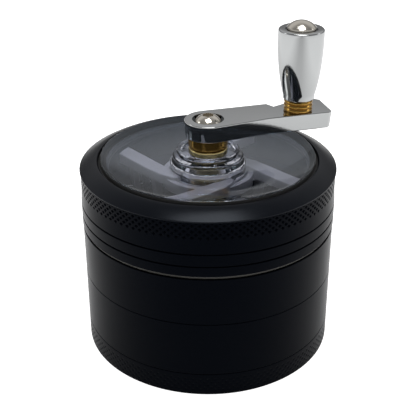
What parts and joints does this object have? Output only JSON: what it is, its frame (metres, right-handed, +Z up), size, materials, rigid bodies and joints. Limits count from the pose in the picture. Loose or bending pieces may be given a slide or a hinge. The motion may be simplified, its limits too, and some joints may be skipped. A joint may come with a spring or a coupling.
{
  "type": "hand-cranked herb grinder",
  "caption": "Round stacked hand grinder with a clear window, a crank arm with a spinning knob, a toothed swirl rotor, a sieve and a catch tray.",
  "frame": {"origin": "centre of the tray's flat underside, on the axis of the stack", "axes": "+Z up along the stack and the crank's axis; -Y is the side that faces the viewer; the crank arm rests 15.5 degrees from +X towards +Y"},
  "size_m": [0.063, 0.063, 0.081],
  "materials": {
    "anodised_black": "black anodised, satin",
    "clear_acrylic": "clear, polished, faint lavender",
    "chrome": "polished chrome plate",
    "brass": "turned brass",
    "nickel_screw": "polished nickel",
    "rotor_alloy": "cast, satin",
    "spring_steel": "turned steel",
    "screen_steel": "woven stainless wire",
    "white_nylon": "matt white nylon",
    "black_rubber": "matt"
  },
  "bodies": {
    "tray": {"kief_tray": "anodised_black"},
    "sifter": {"sifter_chamber": "anodised_black", "sifter_screen": "screen_steel", "screen_ring": "spring_steel"},
    "grinding": {"grinding_chamber": "anodised_black", "grinding_floor": "anodised_black", "grinding_teeth": "anodised_black", "slip_ring": "white_nylon"},
    "lid": {"lid_ring": "anodised_black", "window": "clear_acrylic", "window_seal": "black_rubber", "window_retainer": "spring_steel", "bearing_bush": "brass"},
    "crank": {"crank_arm": "chrome", "crank_screw": "nickel_screw", "crank_spacer": "brass", "spindle": "spring_steel", "thrust_washer": "white_nylon", "rotor": "rotor_alloy", "rotor_teeth": "rotor_alloy", "rotor_washer": "nickel_screw", "rotor_screw": "nickel_screw", "knob_collar": "brass", "knob_screw": "nickel_screw", "knob_washer": "nickel_screw"},
    "knob": {"knob_handle": "chrome", "knob_sleeve": "white_nylon"}
  },
  "joints": [
    {"name": "tray_unscrew", "type": "slide", "parent": "tray", "child": "sifter", "axis": [0, 0, 1], "range_m": [0, 0.03]},
    {"name": "sifter_unscrew", "type": "slide", "parent": "sifter", "child": "grinding", "axis": [0, 0, 1], "range_m": [0, 0.03]},
    {"name": "lid_lift", "type": "slide", "parent": "grinding", "child": "lid", "axis": [0, 0, 1], "range_m": [0, 0.03]},
    {"name": "crank_turn", "type": "hinge", "parent": "lid", "child": "crank", "pos_m": [0, 0, 0.0585], "axis": [0, 0, 1], "continuous": true},
    {"name": "knob_spin", "type": "hinge", "parent": "crank", "child": "knob", "pos_m": [0.02216, 0.00615, 0.07], "axis": [0, 0, 1], "continuous": true}
  ]
}
